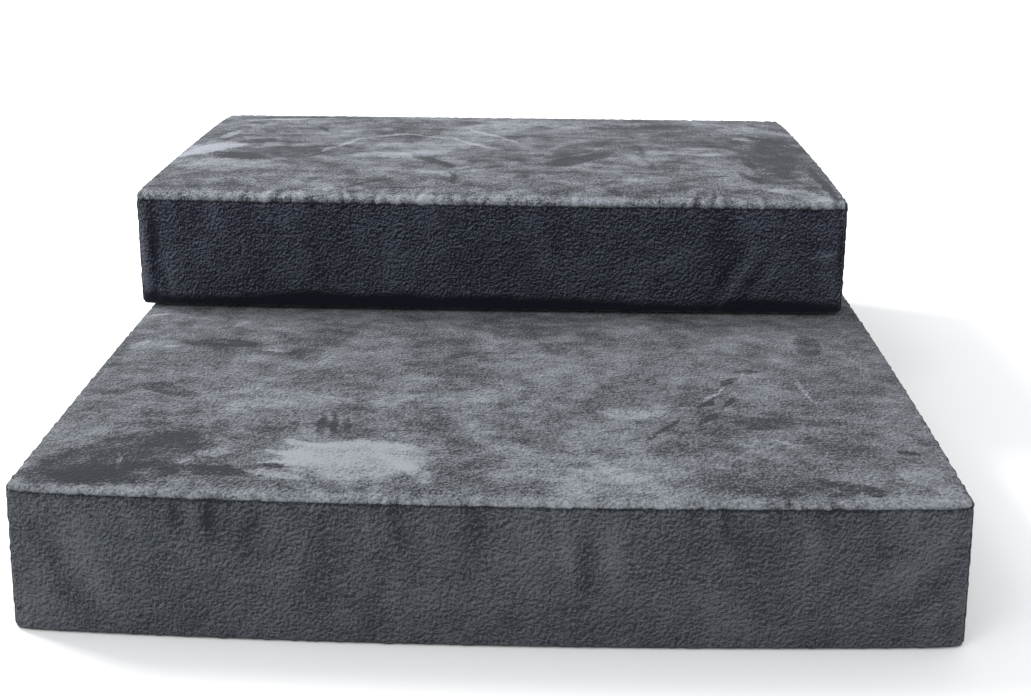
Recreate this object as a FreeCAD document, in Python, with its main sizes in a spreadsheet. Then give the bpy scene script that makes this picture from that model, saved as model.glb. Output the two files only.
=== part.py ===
"""Two-step foam steps for a dog: two zipped velour blocks, the shorter one lying on the back half of the longer.

Millimetres. X runs across the steps, +Y runs from the front step to the back, +Z is up.
The origin is the middle of the lower block's underside.

Each block is a foam core inside a sewn cover. A cover is six cut panels that meet in mitred seams. Its back
panel is two strips with a coil zip between them, and the zip's slider carries a pull tab. Strips of hook tape
on the lower block's top hold strips of loop tape on the upper block's underside.
"""

import FreeCAD
import Part
import os
import Sketcher

# ---------------------------------------------------------------- driving dimensions
DIMENSIONS = {
    "width": 900,  # both blocks, outside the cover
    "lower_depth": 960,
    "upper_depth": 480,
    "block_height": 150,  # each block, outside the cover
    "upper_shift": -17,  # the upper block lies this far off centre
    "cloth": 2,  # velour with its backing
    "core_radius": 8,  # foam core's edges
    "zip_room": 5.5,  # from the back panel's face to the foam behind the zip
    "tape_thick": 1.5,  # hook tape, and loop tape
    "tape_play": 0.3,  # between the hook tape and the loop tape
    "tape_wide": 50,
    "tape_long": 300,
    "tape_pitch": 300,  # from one strip of hook or loop tape to the next
    "zip_opening": 14,  # between the two back strips
    "zip_long": 860,  # coils, from end stop to end stop
    "coil_wide": 3.1,  # one coil
    "coil_thick": 2.6,
    "coil_split": 1,  # between the two coils
    "web_wide": 14,  # woven tape of the zip, one side
    "web_thick": 0.8,
    "web_long": 892,
    "stop_long": 4,
    "stop_thick": 3.2,
    "slider_long": 14,
    "slider_nose": 9.8,  # plate width at the wide end
    "slider_tail": 7.2,
    "slider_corner": 1.5,  # cut off each corner of a plate
    "slider_plate": 1.1,
    "slider_inside": 3.2,  # between the two plates
    "slider_from_end": 10,  # slider's middle to the end stop when the zip is closed
    "wedge_wide": 0.5,
    "wedge_long": 4,
    "bridge_long": 7.7,
    "bridge_wide": 2,
    "bridge_inside": 2.5,  # clear height under the bridge
    "bridge_bar": 0.9,
    "pull_long": 26,
    "pull_wide": 7,
    "pull_thick": 1.2,
    "pull_bar": 1.2,  # cross bar that turns under the bridge
    "pull_eye_long": 5.4,
    "pull_eye_wide": 4,
    "pull_corner": 2.5,
}

doc = FreeCAD.newDocument("DogSteps")
sheet = doc.addObject("Spreadsheet::Sheet", "Sizes")
for row, (name, size) in enumerate(DIMENSIONS.items(), start=1):
    sheet.set(f"A{row}", name)
    sheet.set(f"B{row}", str(size))
    sheet.setAlias(f"B{row}", name)
doc.recompute()

finished = []


def number(expression):
    """The value of an expression on the sheet's cells."""
    return float(sheet.evalExpression(expression))


def place(thing, base, axis=(0, 0, 1), angle=0):
    """Turns a sub-part and binds its position to the sheet."""
    thing.Placement = FreeCAD.Placement(
        FreeCAD.Vector(*[number(term) for term in base]),
        FreeCAD.Rotation(FreeCAD.Vector(*axis), angle),
    )
    for letter, term in zip("xyz", base):
        thing.setExpression(f".Placement.Base.{letter}", term)


def origin_plane(body, role):
    """One of a body's own origin planes."""
    return next(f for f in body.Origin.OriginFeatures if f.Role == role)


def outline(body, name, role, corners, height="0", hole=()):
    """A sketch of straight sides through corners, each bound to the sheet, with an optional hole."""
    sketch = body.newObject("Sketcher::SketchObject", name)
    sketch.AttachmentSupport = (origin_plane(body, role), [""])
    sketch.MapMode = "FlatFace"
    sketch.setExpression(".AttachmentOffset.Base.z", height)
    for loop in filter(None, (corners, hole)):
        first = sketch.GeometryCount
        points = [FreeCAD.Vector(number(x), number(y), 0) for x, y in loop]
        for i, point in enumerate(points):
            sketch.addGeometry(Part.LineSegment(point, points[(i + 1) % len(points)]), False)
        for i in range(len(points)):
            following = first + (i + 1) % len(points)
            sketch.addConstraint(Sketcher.Constraint("Coincident", first + i, 2, following, 1))
        for i, terms in enumerate(loop):
            for kind, term, value in zip(("DistanceX", "DistanceY"), terms, points[i]):
                which = sketch.addConstraint(Sketcher.Constraint(kind, -1, 1, first + i, 1, value))
                sketch.setExpression(f"Constraints[{which}]", term)
    return sketch


def rectangle(wide, deep, x="0", y="0"):
    """The corners of a rectangle about (x, y)."""
    signs = ((-1, -1), (1, -1), (1, 1), (-1, 1))
    return [(f"{x} + {i} * ({wide}) / 2", f"{y} + {j} * ({deep}) / 2") for i, j in signs]


def pad(body, name, sketch, length, reverse=False, taper=0, both_ways=False):
    """Pads a sketch to a length from the sheet."""
    feature = body.newObject("PartDesign::Pad", name)
    feature.Profile = sketch
    feature.setExpression("Length", length)
    feature.Reversed = reverse
    feature.TaperAngle = taper
    feature.Midplane = both_ways
    doc.recompute()
    return feature


def edges_along(feature, direction, past):
    """Names of a feature's straight edges along a direction, those whose start passes a test."""
    names = []
    for i, edge in enumerate(feature.Shape.Edges, start=1):
        start, end = edge.Vertexes[0].Point, edge.Vertexes[-1].Point
        if (end - start).cross(FreeCAD.Vector(*direction)).Length < 1e-6 and past(start):
            names.append(f"Edge{i}")
    return names


def fillet(body, name, feature, edges, radius):
    """Rounds edges of a feature by a radius from the sheet."""
    rounded = body.newObject("PartDesign::Fillet", name)
    rounded.Base = (feature, edges)
    rounded.setExpression("Radius", radius)
    body.Tip = rounded
    doc.recompute()
    return rounded


def box(label, sizes):
    """A Part box with its three sizes bound to the sheet."""
    solid = doc.addObject("Part::Box", label)
    for side, term in zip(("Length", "Width", "Height"), sizes):
        solid.setExpression(side, term)
    return solid


def group(label, solids):
    """Separate like solids as one sub-part."""
    compound = doc.addObject("Part::Compound", label)
    compound.Links = solids
    return compound


def finish(thing):
    """Marks a sub-part as one to export."""
    finished.append(thing)


# ---------------------------------------------------------------- foam core
def foam_core(label, depth, shift_x, middle_y, base):
    """A cut block of foam with eased edges. It stops short of the back panel, where the zip lies."""
    body = doc.addObject("PartDesign::Body", label)
    wide = "Sizes.width - 2 * Sizes.cloth"
    deep = f"{depth} - Sizes.cloth - Sizes.zip_room"
    sketch = outline(body, f"{label}_sketch", "XY_Plane", rectangle(wide, deep))
    block = pad(body, f"{label}_pad", sketch, "Sizes.block_height - 2 * Sizes.cloth")
    names = [f"Edge{i}" for i in range(1, len(block.Shape.Edges) + 1)]
    fillet(body, f"{label}_edges", block, names, "Sizes.core_radius")
    place(body, (shift_x, f"{middle_y} + (Sizes.cloth - Sizes.zip_room) / 2", f"{base} + Sizes.cloth"))
    finish(body)


# ---------------------------------------------------------------- cover panels
def panel(label, wide, deep, base, axis=(0, 0, 1), angle=0):
    """A cut panel of cloth, its rim mitred so that six of them close round the foam."""
    body = doc.addObject("PartDesign::Body", label)
    sketch = outline(body, f"{label}_sketch", "XY_Plane", rectangle(wide, deep))
    cloth = pad(body, f"{label}_pad", sketch, "Sizes.cloth", reverse=True, taper=-45)
    full = number(f"({wide}) * ({deep}) * Sizes.cloth")
    if not 0.97 * full < cloth.Shape.Volume < full:
        raise RuntimeError(f"{label}: the mitre runs the wrong way")
    place(body, base, axis, angle)
    return body


def back_strips(side, shift_x, back_y, middle):
    """The back panel's two strips, above and below the zip."""
    tall = "(Sizes.block_height - Sizes.zip_opening) / 2"
    for name, foot in (("upper", "Sizes.zip_opening / 2"), ("lower", "-Sizes.block_height / 2")):
        label = f"{side}_back_strip_{name}"
        centre = (shift_x, back_y, middle)
        whole = panel(f"{label}_blank", "Sizes.width", "Sizes.block_height", centre, (1, 0, 0), -90)
        part_kept = box(f"{label}_extent", ("Sizes.width", "Sizes.cloth", tall))
        place(part_kept, (f"{shift_x} - Sizes.width / 2", f"{back_y} - Sizes.cloth", f"{middle} + {foot}"))
        strip = doc.addObject("Part::Common", label)
        strip.Base = whole
        strip.Tool = part_kept
        finish(strip)


def cover(side, depth, shift_x, middle_y, base):
    """The six panels of one block's cover."""
    middle = f"{base} + Sizes.block_height / 2"
    top = f"{base} + Sizes.block_height"
    front_y = f"{middle_y} - {depth} / 2"
    left_x = f"{shift_x} - Sizes.width / 2"
    right_x = f"{shift_x} + Sizes.width / 2"
    width, height = "Sizes.width", "Sizes.block_height"
    finish(panel(f"{side}_top_panel", width, depth, (shift_x, middle_y, top)))
    finish(panel(f"{side}_underside_panel", width, depth, (shift_x, middle_y, base), (1, 0, 0), 180))
    finish(panel(f"{side}_front_panel", width, height, (shift_x, front_y, middle), (1, 0, 0), 90))
    finish(panel(f"{side}_left_panel", height, depth, (left_x, middle_y, middle), (0, 1, 0), -90))
    finish(panel(f"{side}_right_panel", height, depth, (right_x, middle_y, middle), (0, 1, 0), 90))
    back_strips(side, shift_x, f"{middle_y} + {depth} / 2", middle)


# ---------------------------------------------------------------- zip
def zip_bar(label, long, thick, wide, start_x, coil_y, low_z):
    """A straight piece of the zip, centred on the coils' depth."""
    bar = box(label, (long, thick, wide))
    place(bar, (start_x, f"{coil_y} - {thick} / 2", low_z))
    return bar


def zip_sides(side, shift_x, coil_y, middle_z):
    """Above and below the zip's middle line: a woven tape, sewn behind the back strip, and its coil."""
    split, coil, web = "Sizes.coil_split / 2", "Sizes.coil_wide", "Sizes.web_wide"
    web_x = f"{shift_x} - Sizes.web_long / 2"
    coil_x = f"{shift_x} - Sizes.zip_long / 2"
    lows = {
        "upper": (f"{split}", f"{split} + {coil}"),
        "lower": (f"-{split} - {coil}", f"-{split} - {coil} - {web}"),
    }
    for name, (coil_low, web_low) in lows.items():
        web_sizes = ("Sizes.web_long", "Sizes.web_thick", web)
        finish(zip_bar(f"{side}_zip_tape_{name}", *web_sizes, web_x, coil_y, f"{middle_z} + {web_low}"))
        coil_sizes = ("Sizes.zip_long", "Sizes.coil_thick", coil)
        finish(zip_bar(f"{side}_zip_coil_{name}", *coil_sizes, coil_x, coil_y, f"{middle_z} + {coil_low}"))


def zip_end_stops(side, shift_x, coil_y, middle_z):
    """One stop across both coils where the zip opens, and one on each coil where it closes."""
    split, coil = "Sizes.coil_split / 2", "Sizes.coil_wide"
    start = f"{shift_x} - Sizes.zip_long / 2 - Sizes.stop_long"
    end = f"{shift_x} + Sizes.zip_long / 2"
    places = (
        (f"2 * ({split} + {coil})", start, f"-{split} - {coil}"),
        (coil, end, f"{split}"),
        (coil, end, f"-{split} - {coil}"),
    )
    label = f"{side}_zip_end_stops"
    stops = []
    for i, (tall, x, low) in enumerate(places, start=1):
        sizes = ("Sizes.stop_long", "Sizes.stop_thick", tall)
        stops.append(zip_bar(f"{label}_{i}", *sizes, x, coil_y, f"{middle_z} + {low}"))
    finish(group(label, stops))


def slider_plate():
    """The outline of a slider's plate. It widens towards the nose, which takes the two open coils."""
    half, corner = "Sizes.slider_long / 2", "Sizes.slider_corner"
    nose, tail = "Sizes.slider_nose / 2", "Sizes.slider_tail / 2"
    one_side = [
        (f"-{half}", f"{tail} - {corner}"),
        (f"-{half} + {corner}", tail),
        (f"{half} - {corner}", nose),
        (half, f"{nose} - {corner}"),
    ]
    return one_side + [(x, f"-({y})") for x, y in reversed(one_side)]


def slider_arch(foot):
    """The outline of the bridge that the pull hangs from, seen from its side."""
    under = f"({foot} + Sizes.bridge_inside)"
    over = f"({under} + Sizes.bridge_bar)"
    outer, inner = "Sizes.bridge_long / 2", "(Sizes.bridge_long / 2 - Sizes.bridge_bar)"
    around = [(f"-{outer}", foot), (f"-{outer}", over), (outer, over), (outer, foot)]
    return around + [(inner, foot), (inner, under), (f"-{inner}", under), (f"-{inner}", foot)]


def zip_slider(side, rest_x, coil_y, middle_z):
    """Two plates joined by the wedge that parts the coils, with a bridge for the pull on the outer plate."""
    label = f"{side}_zip_slider"
    body = doc.addObject("PartDesign::Body", label)
    inside = "Sizes.slider_inside / 2"
    foot = f"({inside} + Sizes.slider_plate)"
    sketch = outline(body, f"{label}_inner", "XY_Plane", slider_plate(), f"-{foot}")
    pad(body, f"{label}_inner_plate", sketch, "Sizes.slider_plate")
    wedge_x = "(Sizes.slider_long - Sizes.wedge_long) / 2"
    wedge = rectangle("Sizes.wedge_long", "Sizes.wedge_wide", x=wedge_x)
    sketch = outline(body, f"{label}_wedge", "XY_Plane", wedge, f"-{inside}")
    pad(body, f"{label}_wedge_post", sketch, "Sizes.slider_inside")
    sketch = outline(body, f"{label}_outer", "XY_Plane", slider_plate(), inside)
    pad(body, f"{label}_outer_plate", sketch, "Sizes.slider_plate")
    sketch = outline(body, f"{label}_arch", "XZ_Plane", slider_arch(foot))
    bridge = pad(body, f"{label}_bridge", sketch, "Sizes.bridge_wide", both_ways=True)
    crown = number(f"{foot} + Sizes.bridge_inside")
    corners = edges_along(bridge, (0, 1, 0), lambda start: start.z > crown + 0.01)
    fillet(body, f"{label}_bridge_round", bridge, corners, "Sizes.bridge_bar / 2")
    place(body, (rest_x, coil_y, middle_z), (1, 0, 0), -90)
    finish(body)


def zip_pull(side, rest_x, coil_y, middle_z):
    """A stamped tab. Its cross bar turns under the slider's bridge, and the tab lies along the closed zip."""
    label = f"{side}_zip_pull"
    body = doc.addObject("PartDesign::Body", label)
    bar = "Sizes.pull_bar / 2"
    middle = f"{bar} - Sizes.pull_long / 2"
    tab = rectangle("Sizes.pull_long", "Sizes.pull_wide", x=middle)
    eye = rectangle("Sizes.pull_eye_long", "Sizes.pull_eye_wide", x=f"-({bar} + Sizes.pull_eye_long / 2)")
    sketch = outline(body, f"{label}_sketch", "XY_Plane", tab, "-Sizes.pull_thick / 2", hole=eye)
    plate = pad(body, f"{label}_pad", sketch, "Sizes.pull_thick")
    tip = number(f"{bar} - Sizes.pull_long")
    corners = edges_along(plate, (0, 0, 1), lambda start: start.x < tip + 0.01)
    fillet(body, f"{label}_round", plate, corners, "Sizes.pull_corner")
    bar_out = "Sizes.slider_inside / 2 + Sizes.slider_plate + Sizes.bridge_inside / 2"
    place(body, (rest_x, f"{coil_y} + {bar_out}", middle_z), (1, 0, 0), -90)
    finish(body)


def closure(side, depth, shift_x, middle_y, base):
    """Everything of the zip in one cover's back, closed, with the slider by the end stops at the right."""
    coil_y = f"({middle_y} + {depth} / 2 - Sizes.cloth - Sizes.web_thick / 2)"
    middle_z = f"{base} + Sizes.block_height / 2"
    rest_x = f"{shift_x} + Sizes.zip_long / 2 - Sizes.slider_from_end"
    zip_sides(side, shift_x, coil_y, middle_z)
    zip_end_stops(side, shift_x, coil_y, middle_z)
    zip_slider(side, rest_x, coil_y, middle_z)
    zip_pull(side, rest_x, coil_y, middle_z)


# ---------------------------------------------------------------- hook and loop tape
def fastening_strips(label, shift_x, middle_y, base):
    """Three strips side by side, sewn flat on the cloth of one block."""
    sizes = ("Sizes.tape_wide", "Sizes.tape_long", "Sizes.tape_thick")
    strips = []
    for i in (-1, 0, 1):
        strip = box(f"{label}_{i + 2}", sizes)
        left = f"{shift_x} + {i} * Sizes.tape_pitch - Sizes.tape_wide / 2"
        place(strip, (left, f"{middle_y} - Sizes.tape_long / 2", base))
        strips.append(strip)
    finish(group(label, strips))


# ---------------------------------------------------------------- the two blocks
UPPER_BASE = "(Sizes.block_height + 2 * Sizes.tape_thick + Sizes.tape_play)"
UPPER_MIDDLE_Y = "((Sizes.lower_depth - Sizes.upper_depth) / 2)"
blocks = (
    ("lower", "Sizes.lower_depth", "0", "0", "0"),
    ("upper", "Sizes.upper_depth", "Sizes.upper_shift", UPPER_MIDDLE_Y, UPPER_BASE),
)
for side, depth, shift_x, middle_y, base in blocks:
    foam_core(f"{side}_foam_core", depth, shift_x, middle_y, base)
    cover(side, depth, shift_x, middle_y, base)
    closure(side, depth, shift_x, middle_y, base)
fastening_strips("hook_tape_strips", "0", UPPER_MIDDLE_Y, "Sizes.block_height")
fastening_strips(
    "loop_tape_strips", "Sizes.upper_shift", UPPER_MIDDLE_Y, f"{UPPER_BASE} - Sizes.tape_thick"
)
doc.recompute()

# ---------------------------------------------------------------- checks and export
for thing in doc.Objects:
    if {"Invalid", "Error"} & set(thing.State):
        raise RuntimeError(f"{thing.Label} failed: {thing.State}")
os.makedirs("parts", exist_ok=True)
for thing in finished:
    shape = thing.Shape
    if shape.isNull() or not shape.isValid() or not shape.Solids:
        raise RuntimeError(f"{thing.Label} has no valid solid")
    shape.exportStep(os.path.join("parts", f"{thing.Label}.step"))
print(len(finished), "sub-parts written")
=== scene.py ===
import math
import random

import bpy
import numpy as np
from mathutils import Matrix, Vector


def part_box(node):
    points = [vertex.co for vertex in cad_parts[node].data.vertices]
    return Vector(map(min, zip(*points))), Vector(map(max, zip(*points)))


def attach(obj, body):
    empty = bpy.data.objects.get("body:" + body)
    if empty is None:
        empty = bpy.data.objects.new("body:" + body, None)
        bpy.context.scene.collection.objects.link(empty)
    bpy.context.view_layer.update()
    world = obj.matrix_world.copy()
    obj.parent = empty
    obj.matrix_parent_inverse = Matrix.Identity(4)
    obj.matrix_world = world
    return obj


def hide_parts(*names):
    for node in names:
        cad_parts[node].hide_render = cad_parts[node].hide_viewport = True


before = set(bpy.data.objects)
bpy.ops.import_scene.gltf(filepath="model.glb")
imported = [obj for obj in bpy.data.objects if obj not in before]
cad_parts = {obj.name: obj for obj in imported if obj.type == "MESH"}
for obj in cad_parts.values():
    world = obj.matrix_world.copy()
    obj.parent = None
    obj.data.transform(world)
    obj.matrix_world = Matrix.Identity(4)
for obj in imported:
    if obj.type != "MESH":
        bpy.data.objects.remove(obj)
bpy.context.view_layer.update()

millimetre = 0.001

# ------------------------------------------------------------------ foam cores
# Each block holds a slab of cream upholstery foam, cut square with a hot wire and eased at its edges. It is
# pushed into a cover cut a little small, so the two swell between the seams, bow out at the front and are
# pulled in at the corners. Cloth simulation of a coarse box gives the swelling, which both then follow.
foam_pitch = 18 * millimetre
foam_edge = 15 * millimetre
foam_slack = 2.5 * millimetre
cage_pitch = 15 * millimetre
cage_pressure = 4
swelling_steps = 20
swell_limit = 6 * millimetre
zip_room = 30 * millimetre
touching = 0.001 * millimetre
# Each face of a block: the axis it faces along, and which way.
PANELS = {
    "left": (0, -1),
    "right": (0, 1),
    "front": (1, -1),
    "back": (1, 1),
    "underside": (2, -1),
    "top": (2, 1),
}


def cover_box(side):
    """The lowest and highest corners of one block's cover."""
    low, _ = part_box(f"{side}_underside_panel")
    _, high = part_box(f"{side}_top_panel")
    return np.array(low), np.array(high)


def positions(piece):
    """A mesh's points, one row each."""
    points = np.empty(len(piece.data.vertices) * 3)
    piece.data.vertices.foreach_get("co", points)
    return points.reshape(-1, 3)


def move_points(piece, points):
    """Puts a mesh's points at new places."""
    piece.data.vertices.foreach_set("co", points.ravel())
    piece.data.update()


def only(piece):
    """Selects one object alone and makes it active."""
    bpy.ops.object.select_all(action="DESELECT")
    piece.select_set(True)
    bpy.context.view_layer.objects.active = piece


def apply_modifiers(piece):
    """Applies all of a piece's modifiers in order."""
    only(piece)
    for modifier in list(piece.modifiers):
        bpy.ops.object.modifier_apply(modifier=modifier.name)


def select_faces(piece, chosen):
    """Opens a mesh in edit mode with just these faces selected."""
    only(piece)
    bpy.ops.object.mode_set(mode="EDIT")
    bpy.ops.mesh.select_mode(type="FACE")
    bpy.ops.mesh.select_all(action="DESELECT")
    bpy.ops.object.mode_set(mode="OBJECT")
    piece.data.polygons.foreach_set("select", chosen)
    bpy.ops.object.mode_set(mode="EDIT")


def face_centres(piece):
    """The middle of each face of a mesh."""
    centres = np.empty(len(piece.data.polygons) * 3)
    piece.data.polygons.foreach_get("center", centres)
    return centres.reshape(-1, 3)


def primitive(add, name, scale=(1, 1, 1), **sizes):
    """Adds one of Blender's primitives with its own operator, and puts its place in its mesh."""
    bpy.ops.object.select_all(action="DESELECT")
    add(**sizes)
    piece = bpy.context.object
    piece.name = name
    piece.scale = scale
    bpy.ops.object.transform_apply()
    return piece


def gridded_box(name, low, high, pitch):
    """A closed box whose faces are cut into squares of about one pitch."""
    cube = bpy.ops.mesh.primitive_cube_add
    block = primitive(cube, name, high - low, size=1, location=(low + high) / 2)
    for axis in range(3):
        mesh = block.data
        ends = np.empty(len(mesh.edges) * 2, int)
        mesh.edges.foreach_get("vertices", ends)
        points = positions(block)[ends.reshape(-1, 2)]
        along = np.abs(points[:, 1] - points[:, 0])
        bpy.ops.object.mode_set(mode="EDIT")
        bpy.ops.mesh.select_mode(type="EDGE")
        bpy.ops.mesh.select_all(action="DESELECT")
        bpy.ops.object.mode_set(mode="OBJECT")
        mesh.edges.foreach_set("select", np.argmax(along, axis=1) == axis)
        bpy.ops.object.mode_set(mode="EDIT")
        bpy.ops.mesh.subdivide(number_cuts=round((high - low)[axis] / pitch) - 1)
        bpy.ops.object.mode_set(mode="OBJECT")
    return block


def distances(points, low, high):
    """How far each point lies from each of a block's six faces."""
    away = {}
    for name, (axis, sign) in PANELS.items():
        away[name] = high[axis] - points[:, axis] if sign > 0 else points[:, axis] - low[axis]
    return away


def ease(value):
    """Smooth steps from 0 to 1."""
    value = np.clip(value, 0, 1)
    return value * value * (3 - 2 * value)


def swollen_cage(side):
    """A coarse box for one block, and the same box's points after it has been blown up as cloth."""
    low, high = cover_box(side)
    cage = gridded_box(f"{side}_cage", low, high, cage_pitch)
    rest = positions(cage)
    away = distances(rest, low, high)
    at_faces = sum((away[name] < touching).astype(int) for name in PANELS)
    seams = cage.vertex_groups.new(name="seams")
    seams.add([int(i) for i in np.flatnonzero(at_faces > 1)], 1.0, "REPLACE")
    only(cage)
    cloth = cage.modifiers.new("Cloth", "CLOTH")
    stuff = cloth.settings
    stuff.quality = 4
    stuff.mass = 0.3
    stuff.tension_stiffness = 20
    stuff.compression_stiffness = 20
    stuff.bending_stiffness = 2
    stuff.vertex_group_mass = "seams"
    stuff.use_pressure = True
    stuff.uniform_pressure_force = cage_pressure
    stuff.effector_weights.gravity = 0
    for step in range(1, swelling_steps + 1):
        bpy.context.scene.frame_set(step)
    bpy.ops.object.modifier_apply(modifier="Cloth")
    moved = positions(cage) - rest
    limit = np.full(len(rest), swell_limit)
    limit[away["underside"] < touching] = 0
    middle = (low[2] + high[2]) / 2
    at_back = away["back"] < touching
    limit[at_back] *= ease((np.abs(rest[at_back, 2] - middle) - zip_room) / zip_room)
    if side == "lower":
        in_front = cover_box("upper")[0][1] - rest[:, 1]
        on_top = away["top"] < touching
        limit[on_top] *= ease(in_front[on_top] / (80 * millimetre))
    length = np.linalg.norm(moved, axis=1)
    share = np.where(length > 1e-9, limit * np.tanh(length / swell_limit) / np.maximum(length, 1e-9), 0)
    move_points(cage, rest)
    return cage, rest + moved * share[:, None]


CAGES = {side: swollen_cage(side) for side in ("lower", "upper")}


def follow(piece, side):
    """Makes a piece that lies on a block's cage go with it as it swells."""
    cage, moved = CAGES[side]
    flat = positions(cage)
    only(piece)
    bound = piece.modifiers.new("Follow", "SURFACE_DEFORM")
    bound.target = cage
    bpy.ops.object.surfacedeform_bind(modifier="Follow")
    move_points(cage, moved)
    bpy.context.view_layer.update()
    apply_modifiers(piece)
    move_points(cage, flat)


# How far each block bows out in the middle of its front and of its sides, stands out further at the bottom,
# is drawn in at its upright corners, and rises along its front top edge at the left and at the right.
FORMS = {
    "lower": {"front_bow": 12, "side_bow": 9, "toe": 6, "corner": 4, "rise_left": 3, "rise_right": 2},
    "upper": {"front_bow": 5, "side_bow": 3, "toe": 3, "corner": 4, "rise_left": 0, "rise_right": -2},
}


def drawn(side, points):
    """How far a block's stuffed cover shifts the points of a square block."""
    low, high = cover_box(side)
    form = {name: size * millimetre for name, size in FORMS[side].items()}
    across, depth, height = ((points - low) / (high - low)).T
    across = 2 * across - 1
    front = 1 - ease(depth * 1.6)
    out = np.zeros_like(points)
    out[:, 0] = across**3 * (form["side_bow"] * (1 - (2 * depth - 1) ** 2) + form["toe"] * (1 - height))
    out[:, 1] = -(form["front_bow"] * (1 - across**2) + form["toe"] * (1 - height)) * front
    out[:, 1] += form["corner"] * np.abs(across) ** 40 * front
    out[:, 0] -= np.sign(across) * 2 * form["corner"] * np.abs(across) ** 40 * depth**20
    rise = form["rise_left"] + (form["rise_right"] - form["rise_left"]) * (across + 1) / 2
    out[:, 2] = rise * height**3 * (1 - depth) ** 6
    return out


def rounded_outward(points, low, high, radius):
    """Where a block's edges take its points once they are rounded, and which way is outward there."""
    inner = np.clip(points, low + radius, high - radius)
    reach = points - inner
    outward = reach / np.linalg.norm(reach, axis=1)[:, None]
    return inner + outward * radius, outward


class Wire:
    """A value in a material. Arithmetic on it adds Math nodes."""

    def __init__(self, tree, socket=None):
        self.tree = tree
        self.socket = socket

    def add(self, kind, settings=None, inputs=None, output=0):
        """Adds a node and gives one of its outputs."""
        node = self.tree.nodes.new("ShaderNode" + kind)
        for name, value in (settings or {}).items():
            setattr(node, name, value)
        self.feed(node, inputs or {})
        return Wire(self.tree, node.outputs[output])

    def feed(self, node, inputs):
        """Sets a node's sockets to values, or links them."""
        for name, value in inputs.items():
            if isinstance(value, Wire):
                self.tree.links.new(value.socket, node.inputs[name])
            else:
                node.inputs[name].default_value = value

    def math(self, operation, first, second):
        return self.add("Math", {"operation": operation}, {0: first, 1: second})

    def __add__(self, other):
        return self.math("ADD", self, other)

    def __sub__(self, other):
        return self.math("SUBTRACT", self, other)

    def __rsub__(self, other):
        return self.math("SUBTRACT", other, self)

    def __mul__(self, other):
        return self.math("MULTIPLY", self, other)

    __radd__ = __add__
    __rmul__ = __mul__

    def step(self, low, high):
        """Goes smoothly from 0 at low to 1 at high."""
        settings = {"interpolation_type": "SMOOTHSTEP"}
        return self.add("MapRange", settings, {"Value": self, "From Min": low, "From Max": high})

    def between(self, dark, light):
        """A colour that goes from dark at 0 to light at 1."""
        inputs = {"Factor": self, "A": (*dark, 1), "B": (*light, 1)}
        return self.add("Mix", {"data_type": "RGBA"}, inputs, 2)

    def bump(self, strength, distance):
        """The normal of a surface that this value raises."""
        return self.add("Bump", None, {"Height": self, "Strength": strength, "Distance": distance})

    def shift(self, other, share):
        """A place moved by a share of a noise's colour."""
        centred = self.add("VectorMath", {"operation": "SUBTRACT"}, {0: other, 1: (0.5, 0.5, 0.5)})
        scaled = self.add("VectorMath", {"operation": "SCALE"}, {0: centred, "Scale": share})
        return self.add("VectorMath", {"operation": "ADD"}, {0: self, 1: scaled})

    def stroke(self, start, end, wide):
        """1 inside a long oval from start to end, 0 outside it."""
        line = end - start
        inputs = {
            "Vector": self,
            "Location": (start + end) / 2,
            "Rotation": (0, 0, math.atan2(line.y, line.x)),
            "Scale": (line.length / 2 + wide / 4, wide / 2, 1),
        }
        local = self.add("Mapping", {"vector_type": "TEXTURE"}, inputs)
        return local.add("VectorMath", {"operation": "LENGTH"}, {0: local}, "Value").step(1.2, 0.85)

    def noise(self, scale, detail=2.0, rough=0.5, output=0):
        """Noise at this place."""
        inputs = {"Vector": self, "Scale": scale, "Detail": detail, "Roughness": rough}
        return self.add("TexNoise", None, inputs, output)

    def turned(self, scale, angle=(0, 0, 0)):
        """This place stretched and turned."""
        turn = tuple(math.radians(a) for a in angle)
        return self.add("Mapping", None, {"Vector": self, "Scale": scale, "Rotation": turn})


def new_finish(name):
    """A material, a place to start its maths, and its shader."""
    material = bpy.data.materials.new(name)
    material.use_nodes = True
    tree = material.node_tree
    place = Wire(tree).add("TexCoord", output="Object")
    return material, place, tree.nodes["Principled BSDF"]


def foam_finish():
    """Open-cell foam: pale, with small round cells and a slightly uneven cut."""
    material, place, shader = new_finish("foam")
    cells = place.add("TexVoronoi", None, {"Vector": place, "Scale": 550.0, "Randomness": 1.0})
    waves = place.turned((1, 1, 6)).noise(14, 3)
    tone = cells * 0.5 + waves * 0.6
    cream, shade = (0.80, 0.76, 0.64), (0.60, 0.56, 0.46)
    colour = tone.between(cream, shade)
    height = cells * -1.0 + waves * 2
    bump = height.bump(0.5, 0.001)
    place.feed(shader, {"Base Color": colour, "Roughness": 0.95, "Normal": bump})
    return material


def fit(piece, finish, body, slot, node=None):
    """Gives a piece its finish and its body, and hides the node that it stands for; the slot is not used.
    """
    piece.data.materials.clear()
    piece.data.materials.append(finish)
    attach(piece, body)
    if node:
        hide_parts(node)


foam_material = foam_finish()
for side in ("lower", "upper"):
    low, high = (np.array(corner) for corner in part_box(f"{side}_foam_core"))
    foam = gridded_box(f"{side}_foam", low, high, foam_pitch)
    square = positions(foam)
    follow(foam, side)
    eased, outward = rounded_outward(square, low, high, foam_edge)
    move_points(foam, positions(foam) + eased - outward * foam_slack - square + drawn(side, square))
    foam.data.shade_smooth()
    fit(foam, foam_material, f"{side}_block", "foam", f"{side}_foam_core")

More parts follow.
